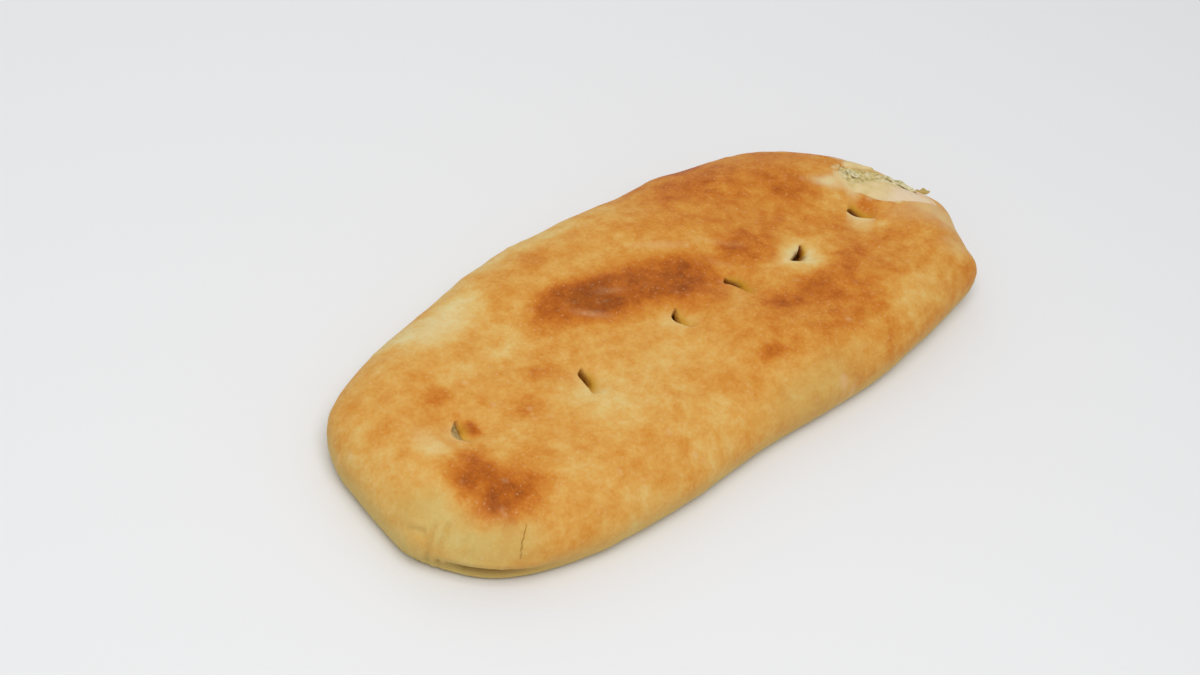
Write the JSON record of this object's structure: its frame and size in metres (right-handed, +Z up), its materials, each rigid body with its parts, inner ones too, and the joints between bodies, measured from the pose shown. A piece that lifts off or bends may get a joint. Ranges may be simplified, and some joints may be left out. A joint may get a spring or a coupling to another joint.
{
  "type": "khachapuri",
  "caption": "Oblong filled flatbread of browned dough with a cheese and herb filling, small crescent snips along its middle and a torn seam at one end.",
  "frame": {"origin": "under the middle of the bread, on the surface that it rests on", "axes": "+X along the bread towards its torn end, +Z up"},
  "size_m": [0.2804, 0.1232, 0.0253],
  "materials": {
    "baked_dough": "golden baked dough with brown patches and a soft sheen",
    "cheese_and_herbs": "moist crumbled white cheese with chopped green herbs",
    "herb_leaf": "wilted olive green leaf"
  },
  "bodies": {
    "root": {"crust": "baked_dough", "filling": "cheese_and_herbs", "herb_leaf_long": "herb_leaf", "herb_leaf_tip": "herb_leaf", "herb_leaf_small": "herb_leaf"}
  },
  "joints": []
}
